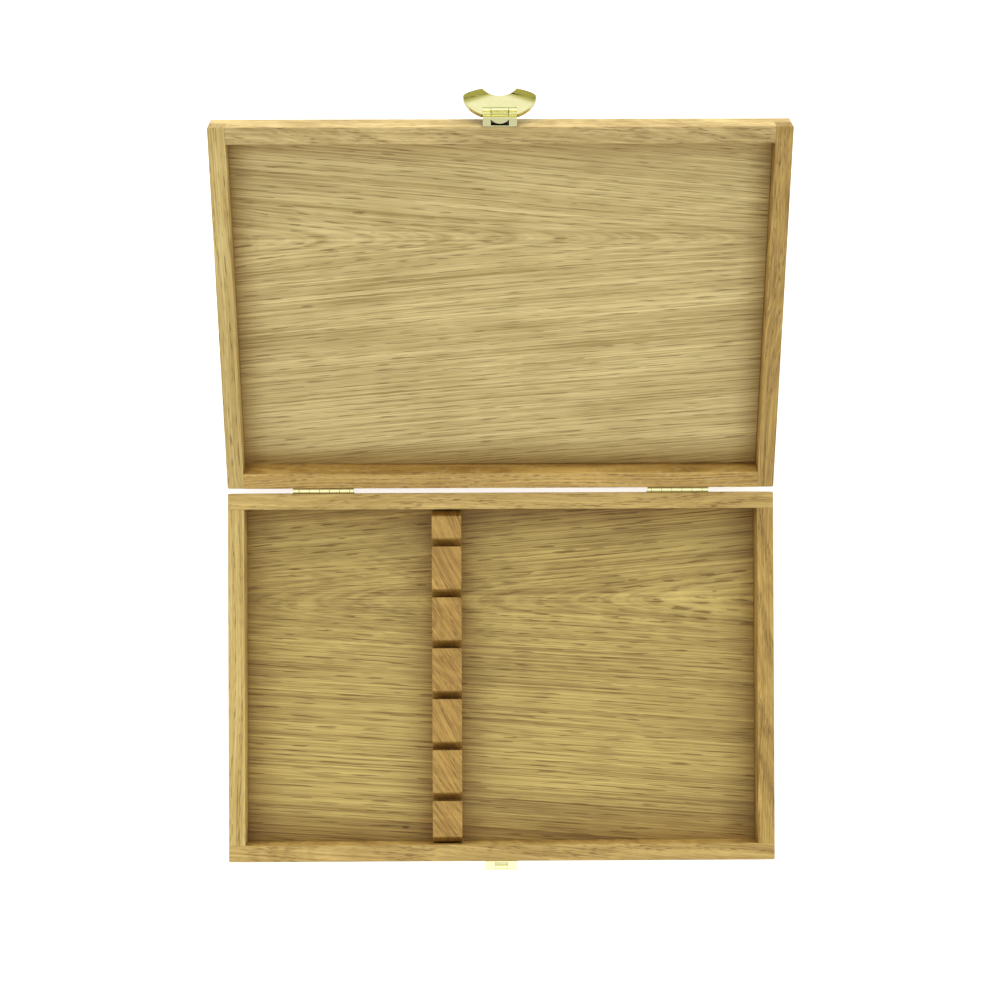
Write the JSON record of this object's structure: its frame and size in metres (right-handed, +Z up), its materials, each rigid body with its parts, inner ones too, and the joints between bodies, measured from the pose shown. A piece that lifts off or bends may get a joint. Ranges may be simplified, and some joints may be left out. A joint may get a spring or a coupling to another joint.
{
  "type": "cutlery box",
  "caption": "Shallow oak box with finger-jointed corners, a slotted knife rack, a lid on brass strip hinges and a brass clasp with a swinging thumb tab.",
  "frame": {"origin": "the middle of the underside of the base, on the surface that the box stands on", "axes": "+X to the right of someone facing the clasp, +Y from the clasp to the hinges, +Z up; at rest the lid is open at 155 degrees and the clasp tab is swung up"},
  "size_m": [0.3, 0.4156, 0.11],
  "materials": {
    "oak_walls": "sanded oak with a thin matt wax",
    "oak_panels": "sanded oak panel with a thin matt wax",
    "oak_rack": "sanded oak, sawn slots",
    "brass_hinges": "bright rolled brass strip",
    "brass_pins": "drawn brass wire",
    "brass_screws": "turned brass",
    "brass_clasp": "polished pressed brass"
  },
  "bodies": {
    "base": {"base_front_wall": "oak_walls", "base_back_wall": "oak_walls", "base_left_wall": "oak_walls", "base_right_wall": "oak_walls", "base_floor": "oak_panels", "knife_rack": "oak_rack", "left_hinge_base_leaf": "brass_hinges", "right_hinge_base_leaf": "brass_hinges", "left_hinge_pin": "brass_pins", "right_hinge_pin": "brass_pins", "base_hinge_screws": "brass_screws", "clasp_keeper": "brass_clasp", "keeper_nails": "brass_screws"},
    "lid": {"lid_front_wall": "oak_walls", "lid_back_wall": "oak_walls", "lid_left_wall": "oak_walls", "lid_right_wall": "oak_walls", "lid_panel": "oak_panels", "left_hinge_lid_leaf": "brass_hinges", "right_hinge_lid_leaf": "brass_hinges", "lid_hinge_screws": "brass_screws", "clasp_bracket": "brass_clasp", "bracket_nails": "brass_screws", "clasp_pin": "brass_pins"},
    "clasp": {"clasp_tab": "brass_clasp"}
  },
  "joints": [
    {"name": "lid_hinge", "type": "hinge", "parent": "base", "child": "lid", "pos_m": [0, 0.10255, 0.0221], "axis": [1, 0, 0], "range_deg": [0, 155]},
    {"name": "tab_hinge", "type": "hinge", "parent": "lid", "child": "clasp", "pos_m": [0, 0.29668, 0.106], "axis": [1, 0, 0], "range_deg": [0, 167.5]}
  ]
}
